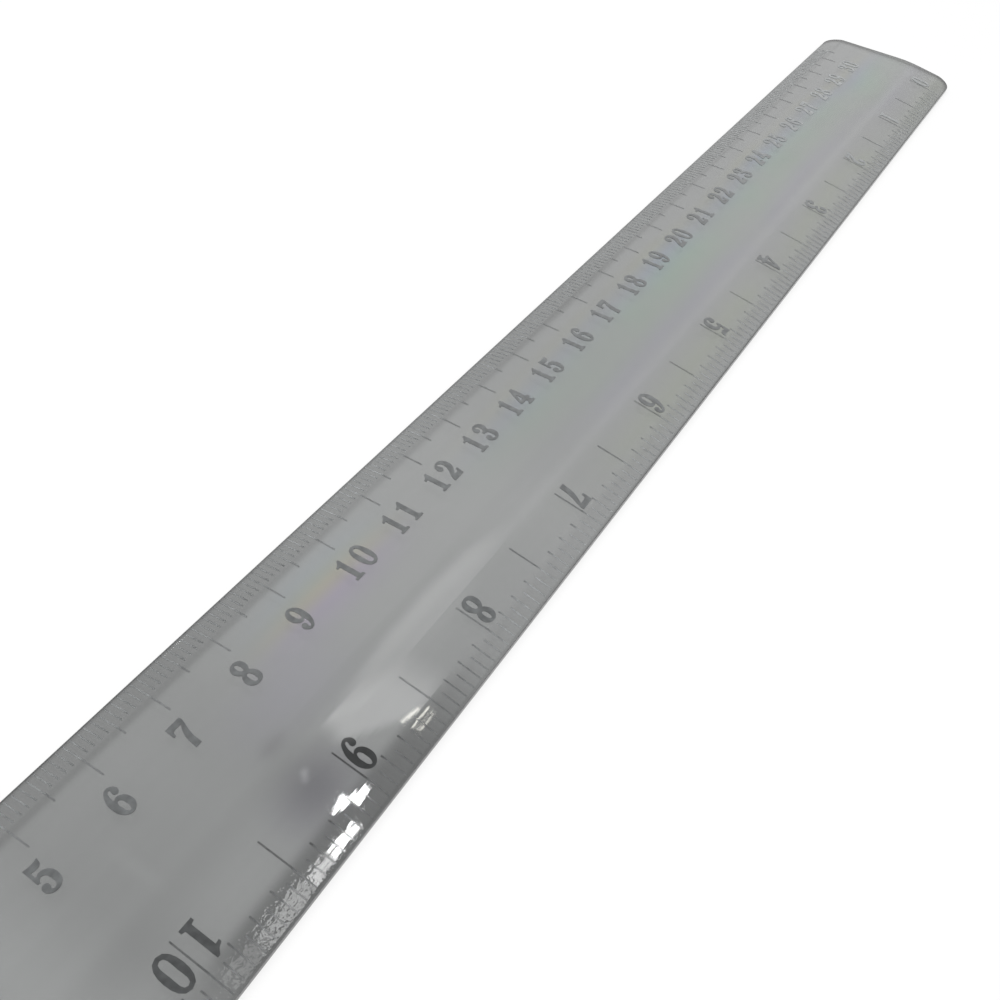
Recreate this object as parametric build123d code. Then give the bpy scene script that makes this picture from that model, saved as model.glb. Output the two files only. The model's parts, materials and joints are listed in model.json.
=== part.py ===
from build123d import *
import os

# A clear moulded plastic ruler with centimetres along one edge and inches along the other.
# It lies along X with its flat underside on Z = 0. X = 0 is the middle of its length and Y = 0 the
# middle of its width. The centimetre scale follows the +Y edge and starts at the -X end. The inch
# scale is turned round: it follows the -Y edge and starts at the +X end.

# Blade
blade_length = 325.0
blade_width = 33.0
edge_height = 1.2
bevel_width = 3.5
bevel_top_height = 1.8
bevel_blend_radius = 6.0
ridge_meeting_height = 2.65
ridge_offset = 4.6
ridge_blend_radius = 36.0
corner_radius = 4.0
top_rim_radius = 0.3
bottom_rim_radius = 0.2

# Stamped foil marks
foil_thickness = 0.08
mark_width = 0.2
rim_to_mark_gap = 0.1
end_margin = 10.1

# Scale steps
millimetre_mark_spacing = 1.0
millimetres_per_centimetre = 10
inch_mark_spacing = 25.4
sixteenths_per_inch = 16

# Reach of each kind of mark, from the edge of the blade to the mark's inner end
centimetre_mark_reach = 6.6
half_centimetre_mark_reach = 4.8
millimetre_mark_reach = 3.2
inch_mark_reach = 8.4
half_inch_mark_reach = 8.2
eighth_inch_mark_reach = 3.9
sixteenth_inch_mark_reach = 3.0

half_length = blade_length / 2
half_width = blade_width / 2
mark_inset = top_rim_radius + rim_to_mark_gap
scale_span = blade_length - 2 * end_margin


# The section across the blade: a flat base, and a long shallow roof between two bevels.
def make_sharp_section():
    corners = [
        (-half_width, 0),
        (half_width, 0),
        (half_width, edge_height),
        (half_width - bevel_width, bevel_top_height),
        (-ridge_offset, ridge_meeting_height),
        (-half_width + bevel_width, bevel_top_height),
        (-half_width, edge_height),
    ]
    return make_face(Polyline(*corners, close=True))


def blend_section(section):
    crest = section.vertices().sort_by(Axis.Y)[-1]
    section = fillet(crest, ridge_blend_radius)
    base_corners, edge_tops, bevel_tops, *_ = section.vertices().group_by(Axis.Y)
    return fillet(bevel_tops, bevel_blend_radius)


# Edges that run along X inside the outline are the seams of the blends, which need no rounding.
def is_seam(edge):
    size = edge.bounding_box().size
    runs_along_x = size.X > size.Y + size.Z
    return runs_along_x and abs(edge.center().Y) < half_width - bevel_width / 2


def make_blade(section):
    bar = extrude(Plane.YZ * section, half_length, both=True)
    outline = RectangleRounded(blade_length, blade_width, corner_radius)
    blade = bar & extrude(outline, ridge_meeting_height)
    bottom_rim = blade.edges().group_by(Axis.Z)[0]
    blade = fillet(bottom_rim, bottom_rim_radius)
    upper = [edge for edge in blade.edges() if edge.bounding_box().min.Z > edge_height / 2]
    top_rim = [edge for edge in upper if not is_seam(edge)]
    return fillet(top_rim, top_rim_radius)


# One foil mark at X = 0, square to the edge. It is what is left of the sharp section lifted by the
# foil's thickness once the section itself is taken away, so it lies on the bevel and on the roof,
# and bridges the blend between them. A side of 1 is the centimetre edge and -1 the inch edge.
def make_mark(section, reach, side):
    lifted = Pos(0, foil_thickness) * section
    stretch = Rectangle(reach - mark_inset, ridge_meeting_height)
    middle_y = side * (half_width - (reach + mark_inset) / 2)
    window = Pos(middle_y, ridge_meeting_height / 2) * stretch
    return extrude(Plane.YZ * ((lifted - section) & window), mark_width / 2, both=True)


def centimetre_scale_mark(number):
    if number % millimetres_per_centimetre == 0:
        return "centimetre_marks", centimetre_mark_reach
    if number % (millimetres_per_centimetre // 2) == 0:
        return "half_centimetre_marks", half_centimetre_mark_reach
    return "millimetre_marks", millimetre_mark_reach


def inch_scale_mark(number):
    if number % sixteenths_per_inch == 0:
        return "inch_marks", inch_mark_reach
    if number % (sixteenths_per_inch // 2) == 0:
        return "half_inch_marks", half_inch_mark_reach
    if number % 2 == 0:
        return "eighth_inch_marks", eighth_inch_mark_reach
    return "sixteenth_inch_marks", sixteenth_inch_mark_reach


# A mark at every step of one scale, in one group for each kind of mark. The last mark is the one
# nearest to the far end of the span, so the centimetre scale runs on to 30.5.
def make_scale(section, start_x, direction, side, step, kind_of_mark):
    last_number = round(scale_span / step)
    marks = {}
    groups = {}
    for number in range(last_number + 1):
        kind, reach = kind_of_mark(number)
        if kind not in marks:
            marks[kind] = make_mark(section, reach, side)
            groups[kind] = []
        x = start_x + direction * number * step
        groups[kind].append((Pos(x, 0, 0) * marks[kind]).solid())
    return groups


section = make_sharp_section()
zero_end = half_length - end_margin
nodes = {"blade": [make_blade(blend_section(section)).solid()]}
nodes.update(make_scale(section, -zero_end, 1, 1, millimetre_mark_spacing, centimetre_scale_mark))
sixteenth_spacing = inch_mark_spacing / sixteenths_per_inch
nodes.update(make_scale(section, zero_end, -1, -1, sixteenth_spacing, inch_scale_mark))

os.makedirs("parts", exist_ok=True)
for name, solids in nodes.items():
    export_step(Compound(solids), f"parts/{name}.step")
    print(name, len(solids))
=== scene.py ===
import bpy
import json
import math
from mathutils import Euler, Matrix, Vector

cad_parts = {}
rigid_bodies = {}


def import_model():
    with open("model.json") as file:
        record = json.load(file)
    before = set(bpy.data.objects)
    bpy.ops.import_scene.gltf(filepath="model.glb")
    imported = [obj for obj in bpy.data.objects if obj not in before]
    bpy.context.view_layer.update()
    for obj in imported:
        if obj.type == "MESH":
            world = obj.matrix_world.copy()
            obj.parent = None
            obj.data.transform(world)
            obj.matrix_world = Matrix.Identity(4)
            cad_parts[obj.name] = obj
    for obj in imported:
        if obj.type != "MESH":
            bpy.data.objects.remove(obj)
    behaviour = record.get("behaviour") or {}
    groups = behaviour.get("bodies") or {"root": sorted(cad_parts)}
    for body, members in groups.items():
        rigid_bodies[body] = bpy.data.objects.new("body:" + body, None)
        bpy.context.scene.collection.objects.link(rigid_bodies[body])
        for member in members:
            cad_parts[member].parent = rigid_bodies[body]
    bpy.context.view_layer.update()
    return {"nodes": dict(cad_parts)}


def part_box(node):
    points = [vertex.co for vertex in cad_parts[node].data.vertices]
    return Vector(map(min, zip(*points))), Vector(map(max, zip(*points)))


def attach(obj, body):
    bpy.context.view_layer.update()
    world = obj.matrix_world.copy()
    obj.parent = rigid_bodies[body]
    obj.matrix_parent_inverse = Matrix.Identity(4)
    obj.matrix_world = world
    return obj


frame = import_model()
mm = 0.001


# The blade is one injection moulding of clear polystyrene, a little smoky, that came out of a
# polished mould. It has stress colours frozen in along its length, faint sinks where the melt
# cooled, and the fine lengthwise scuffs of a ruler that is slid over paper.
blade_low, blade_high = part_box("blade")
blade_length = blade_high.x - blade_low.x
blade_width = blade_high.y - blade_low.y
half_length = blade_length / 2
half_width = blade_width / 2
bevel_width = 3.5 * mm
corner_radius = 4.0 * mm
polystyrene_tint = (0.325, 0.332, 0.330, 1.0)
polystyrene_ior = 1.59
polystyrene_transmission = 0.85
shadow_tint = (0.6, 0.6, 0.6, 1.0)
untinted = (1.0, 1.0, 1.0, 1.0)


def add(tree, kind, inputs=None, **settings):
    """A new node with its settings. Each input is a value, or another node's output to link."""
    made = tree.nodes.new(kind)
    for name, value in settings.items():
        setattr(made, name, value)
    for socket, term in (inputs or {}).items():
        if isinstance(term, bpy.types.NodeSocket):
            tree.links.new(term, made.inputs[socket])
        else:
            made.inputs[socket].default_value = term
    return made


def calculate(tree, operation, *terms):
    """The result of one Math node. Each term is a number or another node's output."""
    return add(tree, "ShaderNodeMath", dict(enumerate(terms)), operation=operation).outputs[0]


def multiply(tree, first, *others):
    product = first
    for term in others:
        product = calculate(tree, "MULTIPLY", product, term)
    return product


def adjust(tree, level, mask, share):
    """The level, raised or lowered by a share of itself where the mask is 1."""
    return multiply(tree, level, calculate(tree, "MULTIPLY_ADD", mask, share, 1.0))


# A fade has the two ends of a stretch, and the two levels that it goes between. An end along the
# blade is measured from its middle toward the inch zero, and one across it from its middle toward
# the centimetre edge.
rising = (0.0, 1.0)
falling = (1.0, 0.0)


def fade(tree, along, ends, levels, interpolation="SMOOTHSTEP"):
    """Goes from the first level to the second between the ends, and stays level beyond them."""
    start, end = ends
    low, high = levels
    inputs = {"Value": along, "From Min": start, "From Max": end, "To Min": low, "To Max": high}
    made = add(tree, "ShaderNodeMapRange", inputs, interpolation_type=interpolation)
    return made.outputs["Result"]


def hump(tree, along, centre, half):
    """1 at the centre, falling smoothly to 0 at half to each side of it."""
    distance = calculate(tree, "ABSOLUTE", calculate(tree, "SUBTRACT", along, centre))
    return fade(tree, distance, (half, 0.0), rising)


def patch(tree, x, y, centre_and_reach):
    """1 at the centre of a patch, falling smoothly to 0 at its edge. In millimetres, it is given its
    centre along and across the blade, and its reach along and across."""
    centre_x, centre_y, reach_x, reach_y = [length * mm for length in centre_and_reach]
    return multiply(tree, hump(tree, x, centre_x, reach_x), hump(tree, y, centre_y, reach_y))


def noise(tree, coordinates, scale, detail):
    """Soft noise of one scale, or of a scale along each axis where three are given."""
    if isinstance(scale, tuple):
        stretched = add(tree, "ShaderNodeMapping", {"Scale": scale, "Vector": coordinates})
        coordinates = stretched.outputs["Vector"]
        scale = 1.0
    made = add(tree, "ShaderNodeTexNoise", {"Scale": scale, "Detail": detail, "Vector": coordinates})
    return made.outputs["Fac"]


def make_material(name):
    made = bpy.data.materials.new(name)
    made.use_nodes = True
    made.node_tree.nodes.clear()
    return made, made.node_tree


# Stress colours. Each band has its place across the blade in millimetres, and its tint. The long
# bands drift from side to side, and bend near the inch zero. A brighter patch of them lies at the
# feet of 9 and 10, and two more patches have a lilac cast.
long_bands = [
    (-15.0, (1.00, 1.00, 1.00)),
    (-11.0, (1.00, 1.025, 0.93)),
    (-7.5, (1.00, 1.00, 1.00)),
    (-4.0, (0.985, 0.97, 1.045)),
    (-0.8, (0.95, 1.03, 0.95)),
    (2.3, (0.92, 1.08, 0.96)),
    (4.2, (0.90, 1.06, 1.04)),
    (6.0, (0.92, 0.98, 1.10)),
    (8.4, (1.02, 1.02, 0.93)),
    (10.5, (1.00, 1.00, 1.00)),
]
patch_bands = [
    (0.0, (1.00, 1.00, 1.00)),
    (3.5, (1.00, 0.95, 1.06)),
    (5.5, (1.02, 0.93, 1.10)),
    (7.5, (1.09, 1.03, 0.87)),
    (9.0, (0.98, 1.04, 0.95)),
    (10.5, (0.90, 1.00, 1.08)),
]
lilac_tint = (1.00, 0.98, 1.04, 1.0)
bright_patch = (-57, 6, 19, 8)
lilac_patches = [(-72, 1, 14, 7), (-80.5, -9.5, 9, 6)]
band_drift = 5 * mm
band_drift_scale = 26.0
band_bend = ((115 * mm, 138 * mm), (0.0, 2.6 * mm))
band_strength = ((-40 * mm, 8 * mm), rising)
uneven_strength = ((0.34, 0.60), (0.30, 1.0))
uneven_scale = 40.0


def tints_across(tree, y, bands):
    """A Color Ramp across the blade, through the tints of the bands."""
    place = calculate(tree, "MULTIPLY_ADD", y, 1 / blade_width, 0.5)
    ramp = add(tree, "ShaderNodeValToRGB", {"Fac": place})
    elements = ramp.color_ramp.elements
    elements.remove(elements[-1])
    first, *others = [(0.5 + band_y * mm / blade_width, (*tint, 1.0)) for band_y, tint in bands]
    elements[0].position, elements[0].color = first
    for position, colour in others:
        elements.new(position).color = colour
    return ramp.outputs["Color"]


def weaken_tint(tree, tint, strength):
    """The tint where the strength is 1, and none where it is 0."""
    inputs = {"Factor": strength, "A": untinted, "B": tint}
    return add(tree, "ShaderNodeMix", inputs, data_type="RGBA").outputs["Result"]


def multiply_colours(tree, first, second):
    inputs = {"Factor": 1.0, "A": first, "B": second}
    return add(tree, "ShaderNodeMix", inputs, data_type="RGBA", blend_type="MULTIPLY").outputs["Result"]


def stress_colours(tree, coordinates, x, y):
    drift = noise(tree, coordinates, band_drift_scale, detail=2.0)
    wobble = calculate(tree, "MULTIPLY_ADD", drift, band_drift, -band_drift / 2)
    bent = calculate(tree, "ADD", wobble, fade(tree, x, *band_bend))
    uneven = fade(tree, noise(tree, coordinates, uneven_scale, detail=2.0), *uneven_strength)
    growing = multiply(tree, uneven, fade(tree, x, *band_strength))
    long_tints = tints_across(tree, calculate(tree, "ADD", y, bent), long_bands)
    bright_tints = tints_across(tree, calculate(tree, "ADD", y, wobble), patch_bands)
    in_lilac = calculate(tree, "MAXIMUM", *[patch(tree, x, y, place) for place in lilac_patches])
    colours = multiply_colours(tree, weaken_tint(tree, long_tints, growing),
                               weaken_tint(tree, bright_tints, patch(tree, x, y, bright_patch)))
    return multiply_colours(tree, colours, weaken_tint(tree, lilac_tint, in_lilac))


# How much light the blade lets through: a plain share, with clouds and lengthwise streaks over it.
# The crest has a painted pale band, of the light that it gathers, which turns into a faint painted
# dark band near the gate.
plain_light = 0.91
cloud_light = 0.10
cloud_scale = 35.0
streak_light = 0.09
streak_scales = (12, 900, 900)
crest_place = ((-52 * mm, -32 * mm), (4.6 * mm, 6.2 * mm))
crest_half_width = 1.7 * mm
crest_light = ((-82 * mm, -72 * mm), (-0.03, 0.08))

# The bevels are painted darker, a painted shade of the light that they turn aside. Fine painted dark
# lines, of the same shade, run along the centimetre bevel's upper border. Each is a patch, with the
# share of the light that it takes.
bevel_fades = [((12.1 * mm, 12.9 * mm), (1.0, 0.85)), ((-12.8 * mm, -13.8 * mm), (1.0, 0.93))]
border_place = ((11.8 * mm, 12.8 * mm), rising)
border_share_near = ((-66 * mm, -40 * mm), (-0.12, -0.05))
border_share_far = ((15 * mm, 85 * mm), (0.0, 0.065))
border_lines = [
    ((18, 12.8, 300, 0.35), -0.08),
    ((18, 13.0, 26, 0.35), -0.22),
    ((18, 12.2, 20, 0.35), -0.22),
]

# The blade is darker toward the gate, at the 12 inch end, and in a patch beside the 9 inch mark. The
# inch bevel is painted darker there, a painted shade beside its glints. Small pale and dark spots are
# added last.
lengthwise_fades = [
    ((-108 * mm, -52 * mm), (0.80, 1.02)),
    ((-113 * mm, -102 * mm), (1.22, 1.0)),
    ((-90 * mm, -78 * mm), (1.09, 1.0)),
    ((-30 * mm, -14 * mm), (1.0, 0.95)),
    ((95 * mm, 125 * mm), (1.0, 0.975)),
]
darker_patch = (-80.2, -9.0, 8, 6.4)
darker_patch_share = -0.33
dark_bevel_start = ((-106 * mm, -96 * mm), rising)
dark_bevel_end = ((-70 * mm, -52 * mm), falling)
dark_bevel_border = ((-11.6 * mm, -13.2 * mm), rising)
dark_bevel_share = -0.38
pale_and_dark_spots = [
    ((-79.9, -7.2, 0.9, 0.8), 0.5),
    ((-79.2, -2.2, 3.2, 1.7), -0.13),
    ((-97.9, -0.5, 1.4, 5.5), 0.05),
    ((-94.0, -9.5, 9.0, 4.5), 0.07),
    ((-99.0, 8.5, 12.0, 9.0), 0.03),
    ((-106.0, -6.0, 10.0, 4.0), -0.06),
    ((70.0, -3.0, 32.0, 9.0), 0.035),
]

# The rim is painted as a dark line, a painted shade that is wider and darker at the two ends, with a
# painted pale line of light inside it there.
end_stretch = ((half_length - 7 * mm, half_length - 2 * mm), rising)
rim_line_width = 0.6 * mm
rim_line_widening = 1.1 * mm
rim_line_level = 0.55
rim_line_darkening = -0.5
pale_line_inset = 2.4 * mm
pale_line_half_width = 1.3 * mm
pale_line_light = 0.10


def plain_level(tree, coordinates):
    cloud = noise(tree, coordinates, cloud_scale, detail=3.0)
    streak = noise(tree, coordinates, streak_scales, detail=2.0)
    level = calculate(tree, "MULTIPLY_ADD", cloud, cloud_light, plain_light)
    return calculate(tree, "MULTIPLY_ADD", streak, streak_light, level)


def shade_crest(tree, level, x, y):
    crest = hump(tree, calculate(tree, "ADD", y, fade(tree, x, *crest_place)), 0.0, crest_half_width)
    return calculate(tree, "MULTIPLY_ADD", crest, fade(tree, x, *crest_light), level)


def shade_bevels(tree, level, x, y):
    share = calculate(tree, "ADD", fade(tree, x, *border_share_near), fade(tree, x, *border_share_far))
    level = adjust(tree, level, fade(tree, y, *border_place), share)
    level = multiply(tree, level, *[fade(tree, y, *bevel) for bevel in bevel_fades])
    for line, line_share in border_lines:
        level = adjust(tree, level, patch(tree, x, y, line), line_share)
    return level


def shade_lengthwise(tree, level, x, y):
    level = multiply(tree, level, *[fade(tree, x, *stretch) for stretch in lengthwise_fades])
    level = adjust(tree, level, patch(tree, x, y, darker_patch), darker_patch_share)
    # The dark inch bevel near the 12 inch end is a painted shade.
    dark_bevel = multiply(tree, fade(tree, x, *dark_bevel_start), fade(tree, x, *dark_bevel_end),
                          fade(tree, y, *dark_bevel_border))
    level = adjust(tree, level, dark_bevel, dark_bevel_share)
    for spot, light in pale_and_dark_spots:
        level = calculate(tree, "MULTIPLY_ADD", patch(tree, x, y, spot), light, level)
    return level


def rim_distance(tree, x, y):
    """How far a point lies inside the blade's rounded outline, up to the corner radius."""
    past_x = calculate(tree, "SUBTRACT", calculate(tree, "ABSOLUTE", x), half_length - corner_radius)
    past_y = calculate(tree, "SUBTRACT", calculate(tree, "ABSOLUTE", y), half_width - corner_radius)
    offset = add(tree, "ShaderNodeCombineXYZ", {"X": calculate(tree, "MAXIMUM", past_x, 0.0),
                                                "Y": calculate(tree, "MAXIMUM", past_y, 0.0)})
    length = add(tree, "ShaderNodeVectorMath", {0: offset.outputs["Vector"]}, operation="LENGTH")
    return calculate(tree, "SUBTRACT", corner_radius, length.outputs["Value"])


def shade_rim(tree, level, x, y):
    inward = rim_distance(tree, x, y)
    at_end = fade(tree, calculate(tree, "ABSOLUTE", x), *end_stretch)
    line_width = calculate(tree, "MULTIPLY_ADD", at_end, rim_line_widening, rim_line_width)
    darkest = calculate(tree, "MULTIPLY_ADD", at_end, rim_line_darkening, rim_line_level)
    level = multiply(tree, level, fade(tree, inward, (0.0, line_width), (darkest, 1.0)))
    pale_line = multiply(tree, at_end, hump(tree, inward, pale_line_inset, pale_line_half_width))
    return calculate(tree, "MULTIPLY_ADD", pale_line, pale_line_light, level)


def shade_levels(tree, coordinates, x, y):
    """How much light the blade lets through, from its clouds and streaks to its rim, with the painted
    light and shade of its crest, bevels and rim.
    """
    level = plain_level(tree, coordinates)
    for shade in (shade_crest, shade_bevels, shade_lengthwise, shade_rim):
        level = shade(tree, level, x, y)
    return level


# The skin of the moulding has sinks on all but the inch side, and scuffs all over. Lumps and a
# grain of wear lie in the bevels, and are deeper toward the 12 inch end.
sink_depth = 0.3 * mm
sink_scale = 60.0
sink_strength = ((-9 * mm, -4 * mm), (0.0, 0.5))
scuff_depth = 0.004 * mm
scuff_scales = (60, 2600, 1000)
scuff_strength = 0.15
scuff_roughness = ((0.0, 1.0), (0.01, 0.045))
lump_depth = 0.016 * mm
lump_scales = (260, 800, 800)
lump_fades = [((-92 * mm, -86 * mm), (0.4, 0.3)), ((-74 * mm, -70 * mm), (1.0, 0.4))]
lump_border = ((12.8 * mm, 13.2 * mm), rising)
grain_scale = 2400.0
grain_fade = ((-94 * mm, -84 * mm), (0.7, 0.1))


def moulded_surface(tree, coordinates, x, y):
    """The normal over sinks, scuffs, lumps and grain, and how scuffed each place is."""
    sinks = noise(tree, coordinates, sink_scale, detail=1.0)
    scuffs = noise(tree, coordinates, scuff_scales, detail=2.0)
    lumps = noise(tree, coordinates, lump_scales, detail=1.0)
    grains = noise(tree, coordinates, grain_scale, detail=1.0)
    pressed = calculate(tree, "MULTIPLY_ADD", grains, fade(tree, x, *grain_fade), lumps)
    pressed = multiply(tree, pressed, *[fade(tree, x, *stretch) for stretch in lump_fades])
    pressed = multiply(tree, pressed, fade(tree, calculate(tree, "ABSOLUTE", y), *lump_border))
    sunk = add(tree, "ShaderNodeBump", {
        "Strength": fade(tree, y, *sink_strength), "Distance": sink_depth, "Height": sinks})
    scuffed = add(tree, "ShaderNodeBump", {
        "Strength": scuff_strength, "Distance": scuff_depth, "Height": scuffs,
        "Normal": sunk.outputs["Normal"]})
    lumpy = add(tree, "ShaderNodeBump", {
        "Strength": 1.0, "Distance": lump_depth, "Height": pressed, "Normal": scuffed.outputs["Normal"]})
    return lumpy.outputs["Normal"], scuffs


def clear_polystyrene():
    made, tree = make_material("clear_polystyrene")
    coordinates = add(tree, "ShaderNodeTexCoord").outputs["Object"]
    place = add(tree, "ShaderNodeSeparateXYZ", {"Vector": coordinates}).outputs
    x, y = place["X"], place["Y"]
    coloured = multiply_colours(tree, polystyrene_tint, stress_colours(tree, coordinates, x, y))
    level = shade_levels(tree, coordinates, x, y)
    shaded = add(tree, "ShaderNodeVectorMath", {"Vector": coloured, "Scale": level}, operation="SCALE")
    normal, scuffs = moulded_surface(tree, coordinates, x, y)
    body = add(tree, "ShaderNodeBsdfPrincipled", {
        "Base Color": shaded.outputs["Vector"], "Normal": normal, "IOR": polystyrene_ior,
        "Roughness": fade(tree, scuffs, *scuff_roughness, interpolation="LINEAR"),
        "Transmission Weight": polystyrene_transmission})
    passed = add(tree, "ShaderNodeBsdfTransparent", {"Color": shadow_tint})
    rays = add(tree, "ShaderNodeLightPath").outputs
    mixed = add(tree, "ShaderNodeMixShader", {
        0: rays["Is Shadow Ray"], 1: body.outputs["BSDF"], 2: passed.outputs["BSDF"]})
    add(tree, "ShaderNodeOutputMaterial", {"Surface": mixed.outputs["Shader"]})
    return made


def dress(node_name, material):
    """Gives a CAD node a material in place of its plain one."""
    node = frame["nodes"][node_name]
    node.data.materials.clear()
    node.data.materials.append(material)


dress("blade", clear_polystyrene())


# The marks are strips of grey pigment foil under a clear lacquer, pressed on by a hot die that
# leaves them a little uneven. On the bevels, which the die only grazed, the pigment is a pale film
# at the bottom of the lacquer.
mark_grey = (0.180, 0.187, 0.190)
foil_thickness = 0.08 * mm
foil_specular = 0.2
foil_roughness = ((0.0, 1.0), (0.45, 0.7))
lacquer_roughness = 0.03
mottle_scale = 900.0
mottle_depth = 0.02 * mm
mottle_strength = 0.3
mottle_grey = ((0.3, 0.8), (0.8, 1.5))

# How pale the foil is. It is darker toward the 12 inch end, on the inch flank and on both bevels,
# and paler toward the inch zero.
bevel_place = ((12.4 * mm, 13.6 * mm), rising)
dark_flank_end = ((-72 * mm, -66 * mm), falling)
dark_flank_side = ((-4 * mm, 0.0), falling)
dark_flank_share = ((-92 * mm, -84 * mm), (-0.45, -0.75))
near_flank_ends = (-30 * mm, -10 * mm)
bevel_level = 1.75
# Near the 12 inch end the bevel foil is painted darker, most on the inch side, as painted shade.
near_bevel_shade_end = ((-62 * mm, -45 * mm), falling)
near_bevel_shade = ((-1 * mm, 1 * mm), (-0.9, -0.4))
far_ends = (60 * mm, 130 * mm)

# How much the foil hides: on the near and far flanks, and in the lacquer over a bevel. The film on
# the bevel ends between two heights over it.
mark_covers = (0.55, 0.35, 0.05)
bevel_top_height = 1.8 * mm
bevel_drop = 0.6 * mm
flank_cover_ends = (-25 * mm, -5 * mm)
film_ends = (0.02 * mm, 0.04 * mm)


def mix_levels(tree, mask, first, second):
    """The first level where the mask is 0, and the second where it is 1."""
    inputs = {"Factor": mask, "A": first, "B": second}
    return add(tree, "ShaderNodeMix", inputs, data_type="FLOAT").outputs["Result"]


def foil_level(tree, x, y, on_bevel, near_level, far_level):
    """How pale the foil is, as a multiple of its own grey."""
    dark_flank = multiply(tree, fade(tree, x, *dark_flank_end), fade(tree, y, *dark_flank_side))
    flank_level = fade(tree, x, near_flank_ends, (near_level, 1.0))
    flank_level = adjust(tree, flank_level, dark_flank, fade(tree, x, *dark_flank_share))
    # The painted shade of the bevel foil near the 12 inch end.
    bevel_shade = multiply(tree, fade(tree, x, *near_bevel_shade_end), fade(tree, y, *near_bevel_shade))
    level = mix_levels(tree, on_bevel, flank_level, calculate(tree, "ADD", bevel_shade, bevel_level))
    return multiply(tree, level, fade(tree, x, far_ends, (1.0, far_level)))


def foil_cover(tree, x, z, off_middle, on_bevel, near_cover, far_cover, lacquer_cover):
    """How much the foil hides. Over a bevel its film hides all, and its lacquer hardly anything."""
    flank_cover = fade(tree, x, flank_cover_ends, (near_cover, far_cover))
    down_bevel = calculate(tree, "SUBTRACT", off_middle, half_width - bevel_width)
    bevel_slope = bevel_drop / bevel_width
    sunk = calculate(tree, "MULTIPLY_ADD", down_bevel, bevel_slope, -bevel_top_height)
    above_bevel = calculate(tree, "ADD", z, sunk)
    bevel_cover = fade(tree, above_bevel, film_ends, (1.0, lacquer_cover))
    return mix_levels(tree, on_bevel, flank_cover, bevel_cover)


def stamped_foil(name, foil_grey, near_level, far_level, covers=None):
    """Foil of a grey, with its level at the 12 inch end and at the inch zero. It hides all that is
    under it, unless it is given its covers for the near and far flanks and the lacquer."""
    made, tree = make_material(name)
    coordinates = add(tree, "ShaderNodeTexCoord").outputs["Object"]
    place = add(tree, "ShaderNodeSeparateXYZ", {"Vector": coordinates}).outputs
    x, y, z = place["X"], place["Y"], place["Z"]
    off_middle = calculate(tree, "ABSOLUTE", y)
    on_bevel = fade(tree, off_middle, *bevel_place)
    mottle = noise(tree, coordinates, mottle_scale, detail=3.0)
    worn = fade(tree, mottle, *mottle_grey, interpolation="LINEAR")
    level = multiply(tree, worn, foil_level(tree, x, y, on_bevel, near_level, far_level))
    grey = add(tree, "ShaderNodeVectorMath", {"Vector": foil_grey, "Scale": level}, operation="SCALE")
    pressed = add(tree, "ShaderNodeBump", {
        "Strength": mottle_strength, "Distance": mottle_depth, "Height": mottle})
    foil = add(tree, "ShaderNodeBsdfPrincipled", {
        "Base Color": grey.outputs["Vector"], "Normal": pressed.outputs["Normal"],
        "Roughness": fade(tree, mottle, *foil_roughness, interpolation="LINEAR"),
        "Specular IOR Level": foil_specular, "Coat Weight": 1.0, "Coat Roughness": lacquer_roughness})
    if covers:
        cover = foil_cover(tree, x, z, off_middle, on_bevel, *covers)
        tree.links.new(cover, foil.inputs["Alpha"])
    add(tree, "ShaderNodeOutputMaterial", {"Surface": foil.outputs["BSDF"]})
    return made


mark_material = stamped_foil("mark_foil", mark_grey, near_level=1.0, far_level=1.2, covers=mark_covers)
for node_name in frame["nodes"]:
    if node_name.endswith("_marks"):
        dress(node_name, mark_material)


# The numerals are of the same foil, stamped in the same stroke of the die, which their broad strokes
# take more fully. They are upright and bold, with serifs. Their tops point to the edge of their own
# scale, so the inch ones are turned round.
numeral_grey = (0.122, 0.128, 0.130)
end_margin = 10.1 * mm
scale_span = blade_length - 2 * end_margin
ridge_height = 2.65 * mm
ridge_offset = 4.6 * mm
numeral_narrowing = 0.93
stroke_spread = 0.07 * mm

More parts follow.
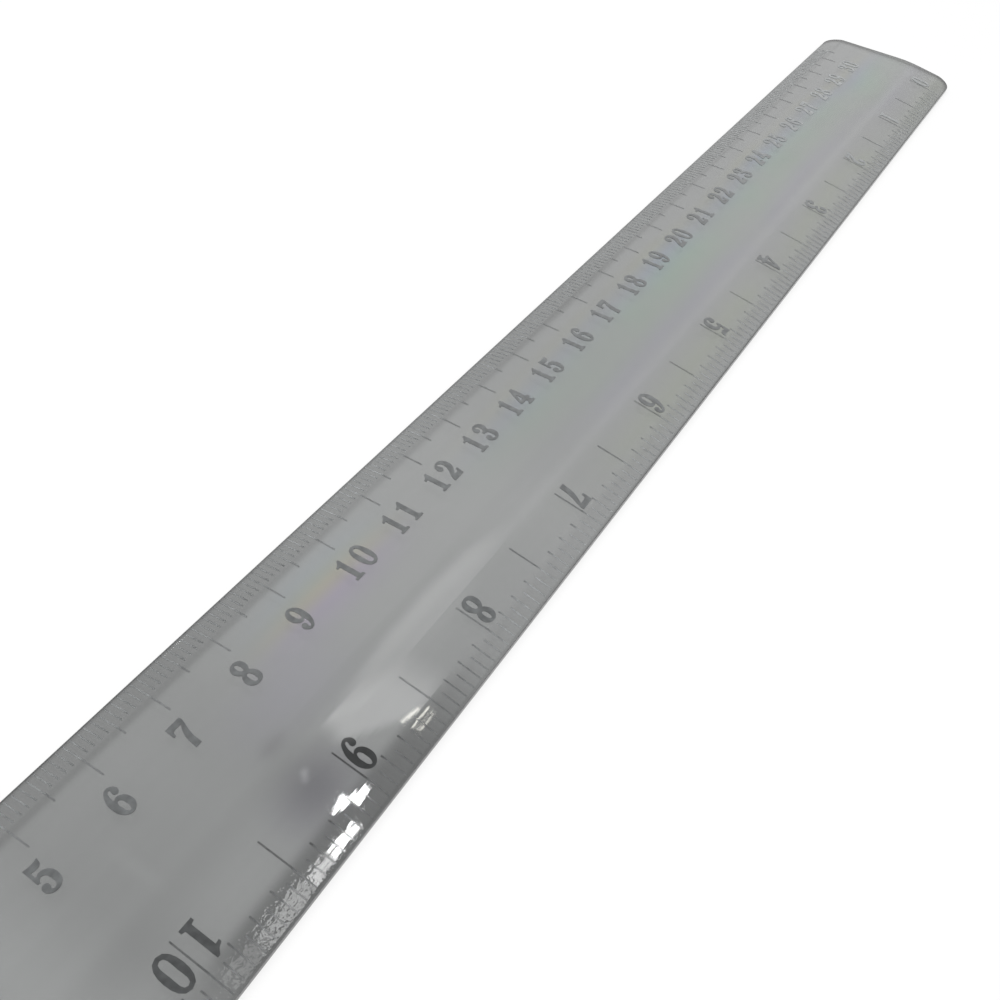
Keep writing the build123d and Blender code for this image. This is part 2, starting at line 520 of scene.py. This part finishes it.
# Outlines in hundredths of the height of a numeral. A third entry of 1 marks a round point, and
# points without it are sharp. Each numeral is its outer contour, then its counters.
outline_height = 100
nine_turns_about = (57, 100)
numeral_outlines = {
    "0": [[(30, 101, 1), (0, 50, 1), (30, -1, 1), (60, 50, 1)],
          [(30, 93, 1), (43, 50, 1), (30, 7, 1), (17, 50, 1)]],
    "1": [[(2, 0), (40, 0), (40, 6), (30, 9), (30, 100), (24, 100), (13, 89, 1), (1, 84), (1, 79),
           (13, 80), (13, 9), (2, 6)]],
    "2": [[(0, 0), (51, 0), (57, 29), (52, 29), (47, 19, 1), (38, 17), (20, 17), (38, 33, 1),
           (54, 50, 1), (58, 72, 1), (50, 93, 1), (29, 101, 1), (9, 94, 1), (1, 77, 1), (5, 66, 1),
           (12, 63, 1), (20, 67, 1), (21, 77, 1), (17, 86, 1), (19, 93, 1), (27, 95, 1), (37, 88, 1),
           (40, 72, 1), (33, 52, 1), (14, 28, 1), (2, 10, 1)]],
    "3": [[(27, -1, 1), (50, 8, 1), (57, 28, 1), (51, 45, 1), (39, 53), (49, 61, 1), (54, 76, 1),
           (47, 93, 1), (27, 101, 1), (9, 95, 1), (2, 80, 1), (6, 70, 1), (13, 68, 1), (20, 72, 1),
           (20, 80, 1), (17, 88, 1), (20, 94, 1), (26, 95, 1), (34, 90, 1), (36, 76, 1), (31, 61, 1),
           (18, 56), (18, 50), (34, 45, 1), (39, 28, 1), (36, 11, 1), (27, 5, 1), (18, 7, 1),
           (16, 13, 1), (20, 20, 1), (19, 28, 1), (12, 33, 1), (4, 29, 1), (0, 19, 1), (8, 5, 1)]],
    "4": [[(0, 24), (0, 32), (36, 101), (49, 101), (49, 35), (60, 35), (60, 24), (49, 24), (49, 9),
           (58, 6), (58, 0), (22, 0), (22, 6), (32, 9), (32, 24)],
          [(9, 35), (32, 35), (32, 78)]],
    "5": [[(7, 100), (30, 97, 1), (51, 100), (45, 84, 1), (28, 81, 1), (13, 84), (12, 60),
           (30, 66, 1), (50, 56, 1), (57, 33, 1), (49, 9, 1), (26, -1, 1), (7, 6, 1), (0, 20, 1),
           (4, 30, 1), (12, 33, 1), (20, 28, 1), (20, 19, 1), (16, 12, 1), (18, 7, 1), (25, 5, 1),
           (36, 12, 1), (39, 32, 1), (35, 51, 1), (25, 57, 1), (16, 54, 1), (10, 46), (5, 48)]],
    "6": [[(29, -1, 1), (50, 9, 1), (57, 31, 1), (49, 54, 1), (33, 62, 1), (18, 55), (22, 82, 1),
           (33, 95, 1), (39, 92, 1), (37, 83, 1), (37, 75, 1), (44, 71, 1), (51, 74, 1), (54, 83, 1),
           (48, 95, 1), (32, 101, 1), (9, 80, 1), (0, 46, 1), (7, 13, 1)],
          [(29, 5, 1), (38, 14, 1), (40, 31, 1), (37, 48, 1), (28, 54, 1), (19, 44, 1), (18, 27, 1),
           (21, 11, 1)]],
    "7": [[(15, -1), (34, -1), (38, 36, 1), (57, 89), (57, 100), (2, 100), (0, 68), (5, 68),
           (10, 80, 1), (22, 84), (46, 84), (23, 44, 1)]],
    "8": [[(28, -1, 1), (50, 6, 1), (57, 26, 1), (51, 43, 1), (42, 53), (50, 62, 1), (54, 77, 1),
           (47, 94, 1), (28, 101, 1), (9, 94, 1), (2, 77, 1), (7, 62, 1), (16, 52), (5, 42, 1),
           (0, 25, 1), (7, 6, 1)],
          [(28, 95, 1), (38, 77, 1), (29, 60, 1), (18, 77, 1)],
          [(28, 47, 1), (40, 25, 1), (28, 5, 1), (17, 25, 1)]],
}
numeral_outlines["9"] = [
    [(nine_turns_about[0] - across, nine_turns_about[1] - up, *round_point)
     for across, up, *round_point in contour]
    for contour in numeral_outlines["6"]
]


def runs_anticlockwise(contour):
    following = contour[1:] + contour[:1]
    return sum(here[0] * after[1] - after[0] * here[1] for here, after in zip(contour, following)) > 0


def numeral_mesh(digit, height):
    """A numeral centred on the origin in X, standing on Y = 0, of the foil's thickness above Z = 0."""
    curve = bpy.data.curves.new(f"digit_{digit}", "CURVE")
    curve.dimensions = "2D"
    curve.fill_mode = "BOTH"
    curve.resolution_u = 4
    curve.extrude = foil_thickness / 2
    curve.offset = stroke_spread
    unit = height / outline_height
    widest = max(point[0] for point in numeral_outlines[digit][0])
    for contour_number, contour in enumerate(numeral_outlines[digit]):
        is_outer = contour_number == 0
        if runs_anticlockwise(contour) != is_outer:
            contour = contour[::-1]
        spline = curve.splines.new("BEZIER")
        spline.bezier_points.add(len(contour) - 1)
        spline.use_cyclic_u = True
        for corner, (across, up, *round_point) in zip(spline.bezier_points, contour):
            corner.co = ((across - widest / 2) * numeral_narrowing * unit, up * unit, 0)
            corner.handle_left_type = corner.handle_right_type = "AUTO" if round_point else "VECTOR"
    drawn = bpy.data.objects.new("drawn_digit", curve)
    bpy.context.scene.collection.objects.link(drawn)
    bpy.context.view_layer.update()
    mesh = bpy.data.meshes.new_from_object(drawn.evaluated_get(bpy.context.evaluated_depsgraph_get()))
    bpy.data.objects.remove(drawn)
    mesh.transform(Matrix.Translation((0, 0, foil_thickness / 2)))
    return mesh


def numeral_tree():
    """Numerals at every step of a scale: points along it, a digit on each, and all laid on the flank."""
    tree = bpy.data.node_groups.new("scale_numerals", "GeometryNodeTree")
    kinds = {"Digits": "Collection", "Count": "Int", "Step": "Float", "Single Place": "Float",
             "Tens Place": "Float", "Units Place": "Float", "Baseline": "Float", "Slope": "Float",
             "Height on Blade": "Float", "Foil": "Material"}
    named_inputs = {
        name: tree.interface.new_socket(name, in_out="INPUT", socket_type=f"NodeSocket{kind}")
        for name, kind in kinds.items()
    }
    tree.interface.new_socket("Geometry", in_out="OUTPUT", socket_type="NodeSocketGeometry")
    given = add(tree, "NodeGroupInput").outputs
    step = add(tree, "ShaderNodeCombineXYZ", {"X": given["Step"]})
    line = add(tree, "GeometryNodeMeshLine", {"Count": given["Count"], "Offset": step.outputs["Vector"]})
    digits = add(tree, "GeometryNodeCollectionInfo", {
        "Collection": given["Digits"], "Separate Children": True, "Reset Children": True})
    index = add(tree, "GeometryNodeInputIndex").outputs["Index"]
    tens = calculate(tree, "FLOOR", calculate(tree, "DIVIDE", index, 10.0))
    units = calculate(tree, "FLOORED_MODULO", index, 10.0)
    has_tens = calculate(tree, "GREATER_THAN", tens, 0.5)
    aside = calculate(tree, "SUBTRACT", given["Units Place"], given["Single Place"])
    units_place = calculate(tree, "MULTIPLY_ADD", has_tens, aside, given["Single Place"])
    joined = add(tree, "GeometryNodeJoinGeometry")
    for digit, place, chosen in ((units, units_place, True), (tens, given["Tens Place"], has_tens)):
        shift = add(tree, "ShaderNodeCombineXYZ", {"X": place, "Y": given["Baseline"]})
        moved = add(tree, "GeometryNodeSetPosition", {
            "Geometry": line.outputs["Mesh"], "Offset": shift.outputs["Vector"]})
        stamped = add(tree, "GeometryNodeInstanceOnPoints", {
            "Points": moved.outputs["Geometry"], "Selection": chosen,
            "Instance": digits.outputs["Instances"], "Pick Instance": True, "Instance Index": digit})
        tree.links.new(stamped.outputs["Instances"], joined.inputs["Geometry"])
    real = add(tree, "GeometryNodeRealizeInstances", {"Geometry": joined.outputs["Geometry"]})
    tilt = add(tree, "ShaderNodeCombineXYZ", {"X": given["Slope"]})
    lift = add(tree, "ShaderNodeCombineXYZ", {"Z": given["Height on Blade"]})
    laid = add(tree, "GeometryNodeTransform", {
        "Geometry": real.outputs["Geometry"], "Rotation": tilt.outputs["Vector"],
        "Translation": lift.outputs["Vector"]})
    finished = add(tree, "GeometryNodeSetMaterial", {
        "Geometry": laid.outputs["Geometry"], "Material": given["Foil"]})
    add(tree, "NodeGroupOutput", {"Geometry": finished.outputs["Geometry"]})
    return tree, named_inputs


def flank(side):
    """The flank's downward slope on a side, and its plane's height over the blade's middle line."""
    run = half_width + side * ridge_offset - bevel_width
    slope = (ridge_height - bevel_top_height) / run
    return slope, ridge_height - side * ridge_offset * slope


numerals_tree, numerals_inputs = numeral_tree()
numeral_material = stamped_foil("numeral_foil", numeral_grey, near_level=0.9, far_level=2.1)


def stamp_numerals(name, side, height, values):
    """One scale's numerals as a plain mesh. A side of 1 is the centimetre edge and -1 the inch edge."""
    digits = bpy.data.collections.new(f"{name}_digits")
    for digit in "0123456789":
        digits.objects.link(bpy.data.objects.new(f"{name}_{digit}", numeral_mesh(digit, height)))
    stamped = bpy.data.objects.new(name, bpy.data.meshes.new(name))
    bpy.context.scene.collection.objects.link(stamped)
    modifier = stamped.modifiers.new("numerals", "NODES")
    modifier.node_group = numerals_tree
    slope, middle_height = flank(side)
    values = {"Digits": digits, "Foil": numeral_material, "Slope": -math.atan(slope),
              "Height on Blade": middle_height, **values}
    for socket_name, value in values.items():
        modifier[numerals_inputs[socket_name].identifier] = value
    bpy.context.view_layer.update()
    mesh = bpy.data.meshes.new_from_object(stamped.evaluated_get(bpy.context.evaluated_depsgraph_get()))
    stamped.modifiers.clear()
    stamped.data = mesh
    turn = Matrix.Rotation(0 if side > 0 else math.pi, 4, "Z")
    mesh.transform(turn @ Matrix.Translation((-scale_span / 2, 0, 0)))
    for digit in list(digits.objects):
        bpy.data.objects.remove(digit)
    bpy.data.collections.remove(digits)
    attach(stamped, "root")


stamp_numerals("centimetre_numerals", 1, 4.0 * mm, {
    "Count": 31, "Step": 10 * mm, "Single Place": -1.35 * mm, "Tens Place": -1.7 * mm,
    "Units Place": 1.45 * mm, "Baseline": 4.35 * mm})
stamp_numerals("inch_numerals", -1, 4.5 * mm, {
    "Count": 13, "Step": 25.4 * mm, "Single Place": -1.75 * mm, "Tens Place": -2.1 * mm,
    "Units Place": 1.9 * mm, "Baseline": 8.25 * mm})


# The floor is a plain white table top. It shows white to the camera, and through the clear blade,
# and keeps part of the blade's soft shadow. Far from the blade it keeps no shadow.
floor_reach = 4.0
floor_gap = 0.05 * mm
paper_colour = (0.95, 0.95, 0.95, 1.0)
glow_seen = ((0.4, 1.0), (0.8, 1.0))
glow_mirrored = 0.8
glow_through_blade = 0.93


def white_floor():
    made, tree = make_material("white_floor")
    paper = add(tree, "ShaderNodeBsdfDiffuse", {"Color": paper_colour})
    glow = add(tree, "ShaderNodeEmission", {"Strength": 1.0})
    rays = add(tree, "ShaderNodeLightPath").outputs
    coordinates = add(tree, "ShaderNodeTexCoord").outputs["Object"]
    distance = add(tree, "ShaderNodeVectorMath", {0: coordinates}, operation="LENGTH").outputs["Value"]
    seen = multiply(tree, rays["Is Camera Ray"], fade(tree, distance, *glow_seen))
    mirrored = multiply(tree, rays["Is Glossy Ray"], glow_mirrored)
    shown_through = multiply(tree, rays["Is Transmission Ray"], glow_through_blade)
    share = calculate(tree, "MAXIMUM", calculate(tree, "MAXIMUM", seen, mirrored), shown_through)
    mixed = add(tree, "ShaderNodeMixShader", {
        0: share, 1: paper.outputs["BSDF"], 2: glow.outputs["Emission"]})
    add(tree, "ShaderNodeOutputMaterial", {"Surface": mixed.outputs["Shader"]})
    return made


floor_mesh = bpy.data.meshes.new("floor")
signs = [(-1, -1), (1, -1), (1, 1), (-1, 1)]
corners = [(sign_x * floor_reach, sign_y * floor_reach, -floor_gap) for sign_x, sign_y in signs]
floor_mesh.from_pydata(corners, [], [(0, 1, 2, 3)])
floor_mesh.materials.append(white_floor())
floor = bpy.data.objects.new("floor", floor_mesh)
bpy.context.scene.collection.objects.link(floor)


# The room is an even white studio. Gloss shows it bright low down and dark overhead, with a pale
# panel between, cut off along three straight lines, and a dimmer panel beside it. Directions and
# elevations are in degrees, a direction as an azimuth and an elevation.
room_light = 0.62
room_in_gloss = ((46, 60), (0.95, 0.25))
panel_direction = (12.0, 61.5)
panel_edge = ((9.3, 7.3), (0.0, 2.3))
panel_foot = ((58.8, 61.8), rising)
panel_far_side = ((15.2, 65.8), (8.9, 63.0))
panel_far_blur = (0.0, 0.012)
panel_near_side = ((43.5, 56.0), (16.4, 64.8))
panel_near_blur = (-0.012, 0.012)
dim_panel_direction = (21.0, 55.7)
dim_panel_edge = ((7.5, 2.5), (0.0, 1.1))


def towards(azimuth, elevation):
    """The unit vector at an azimuth and an elevation in degrees."""
    turn, lift = math.radians(azimuth), math.radians(elevation)
    return Vector((math.cos(turn) * math.cos(lift), math.sin(turn) * math.cos(lift), math.sin(lift)))


def reach_along(tree, direction, axis):
    """How far a direction points along an axis, from -1 to 1."""
    made = add(tree, "ShaderNodeVectorMath", {0: direction, 1: axis}, operation="DOT_PRODUCT")
    return made.outputs["Value"]


def round_panel(tree, direction, centre, angles, levels):
    """Fades from the first level to the second between two angles from the centre."""
    cosines = [math.cos(math.radians(angle)) for angle in angles]
    return fade(tree, reach_along(tree, direction, towards(*centre)), cosines, levels)


def past_side(tree, direction, side, blur):
    """0 on one side of the line that runs through two directions, and 1 on the other."""
    across = towards(*side[0]).cross(towards(*side[1])).normalized()
    return fade(tree, reach_along(tree, direction, across), blur, rising)


def fade_upward(tree, up, elevations, levels):
    """Fades from the first level to the second between two elevations."""
    return fade(tree, up, [math.sin(math.radians(elevation)) for elevation in elevations], levels)


def light_studio(studio):
    studio.use_nodes = True
    tree = studio.node_tree
    tree.nodes.clear()
    direction = add(tree, "ShaderNodeTexCoord").outputs["Generated"]
    up = add(tree, "ShaderNodeSeparateXYZ", {"Vector": direction}).outputs["Z"]
    room = fade_upward(tree, up, *room_in_gloss)
    panel = multiply(tree, round_panel(tree, direction, panel_direction, *panel_edge),
                     past_side(tree, direction, panel_far_side, panel_far_blur),
                     fade_upward(tree, up, *panel_foot),
                     past_side(tree, direction, panel_near_side, panel_near_blur))
    dim_panel = round_panel(tree, direction, dim_panel_direction, *dim_panel_edge)
    in_gloss = calculate(tree, "ADD", calculate(tree, "ADD", panel, room), dim_panel)
    rays = add(tree, "ShaderNodeLightPath").outputs
    backdrop = calculate(tree, "MAXIMUM", rays["Is Camera Ray"], rays["Is Transmission Ray"])
    lit = mix_levels(tree, rays["Is Glossy Ray"], room_light, in_gloss)
    shown = mix_levels(tree, backdrop, lit, 1.0)
    sky = add(tree, "ShaderNodeBackground", {"Color": untinted, "Strength": shown})
    add(tree, "ShaderNodeOutputWorld", {"Surface": sky.outputs["Background"]})


bpy.context.scene.world = bpy.data.worlds.new("studio")
light_studio(bpy.context.scene.world)


# A large softbox overhead gives the plain light. Small strip lamps, aimed at the inch bevel and hung
# where it mirrors them to the camera, give its glints.
softbox_place = Vector((-0.3, 0.5, 1.1))
softbox_size = 0.9
softbox_power = 9.0
strip_distance = 0.6
blob_place = (-79.4 * mm, -13.4 * mm, 1.75 * mm)
band_place = (-84.7 * mm, -15.4 * mm, 1.4 * mm)
tail_place = (-95.4 * mm, -15.4 * mm, 1.4 * mm)
tube_place = (-66.4 * mm, -13.0 * mm, 1.8 * mm)
white = (1.0, 1.0, 1.0)
warm = (1.0, 0.98, 0.88)


def area_lamp(name, position, rotation, length, width, power, colour):
    light = bpy.data.lights.new(name, "AREA")
    light.shape = "RECTANGLE"
    light.size = length
    light.size_y = width
    light.energy = power
    light.color = colour
    lamp = bpy.data.objects.new(name, light)
    lamp.location = position
    lamp.rotation_euler = rotation
    bpy.context.scene.collection.objects.link(lamp)
    return lamp


def strip_lamp(name, target, first, second, width_share, radiance, colour=white):
    """A strip that reaches from one direction to another, as seen from a target."""
    ends = [Vector(target) + strip_distance * towards(*end) for end in (first, second)]
    middle = (ends[0] + ends[1]) / 2
    back = (middle - Vector(target)).normalized()
    along = (ends[1] - ends[0]).normalized()
    along = (along - along.dot(back) * back).normalized()
    rotation = Matrix((along, back.cross(along), back)).transposed().to_euler()
    length = (ends[1] - ends[0]).length
    width = length * width_share
    area_lamp(name, middle, rotation, length, width, radiance * math.pi * length * width, colour)


softbox_turn = softbox_place.to_track_quat("Z", "Y").to_euler()
softbox = area_lamp("softbox", softbox_place, softbox_turn, softbox_size, softbox_size, softbox_power, white)
softbox.visible_glossy = False
softbox.visible_transmission = False
strip_lamp("blob_lamp", blob_place, (11.5, 67.9), (-10.3, 66.6), 0.15, 45.0)
strip_lamp("band_lamp", band_place, (-12.11, 67.49), (-13.6, 69.71), 0.35, 30.0)
strip_lamp("streak_lamp", band_place, (-13.6, 69.71), (-15.1, 71.5), 0.43, 9.0)
strip_lamp("speckle_lamp", tail_place, (-14.4, 70.7), (-18.43, 74.54), 0.30, 4.2)
strip_lamp("tail_lamp", tail_place, (-18.43, 74.54), (-22.66, 77.21), 0.4, 1.6)
strip_lamp("tube_lamp_0", tube_place, (9.31, 62.84), (8.17, 61.58), 0.14, 12.0, warm)
strip_lamp("tube_lamp_1", tube_place, (-7.50, 62.80), (-7.00, 61.17), 0.13, 13.0, warm)
strip_lamp("tube_lamp_2", tube_place, (-8.60, 62.62), (-8.10, 61.09), 0.09, 13.0, warm)


# The camera looks along the blade from above its near end, over the inch edge.
camera_place = (-126.14 * mm, -43.81 * mm, 111.56 * mm)
camera_turn = (42.827, -7.807, -58.187)
camera_data = bpy.data.cameras.new("camera")
camera_data.lens = 38.825
camera_data.sensor_width = 36.0
camera_data.sensor_fit = "HORIZONTAL"
camera_data.clip_start = 0.01
camera = bpy.data.objects.new("camera", camera_data)
camera.location = camera_place
camera.rotation_euler = Euler([math.radians(angle) for angle in camera_turn])
bpy.context.scene.collection.objects.link(camera)
bpy.context.scene.camera = camera
bpy.context.scene.view_settings.view_transform = "Standard"
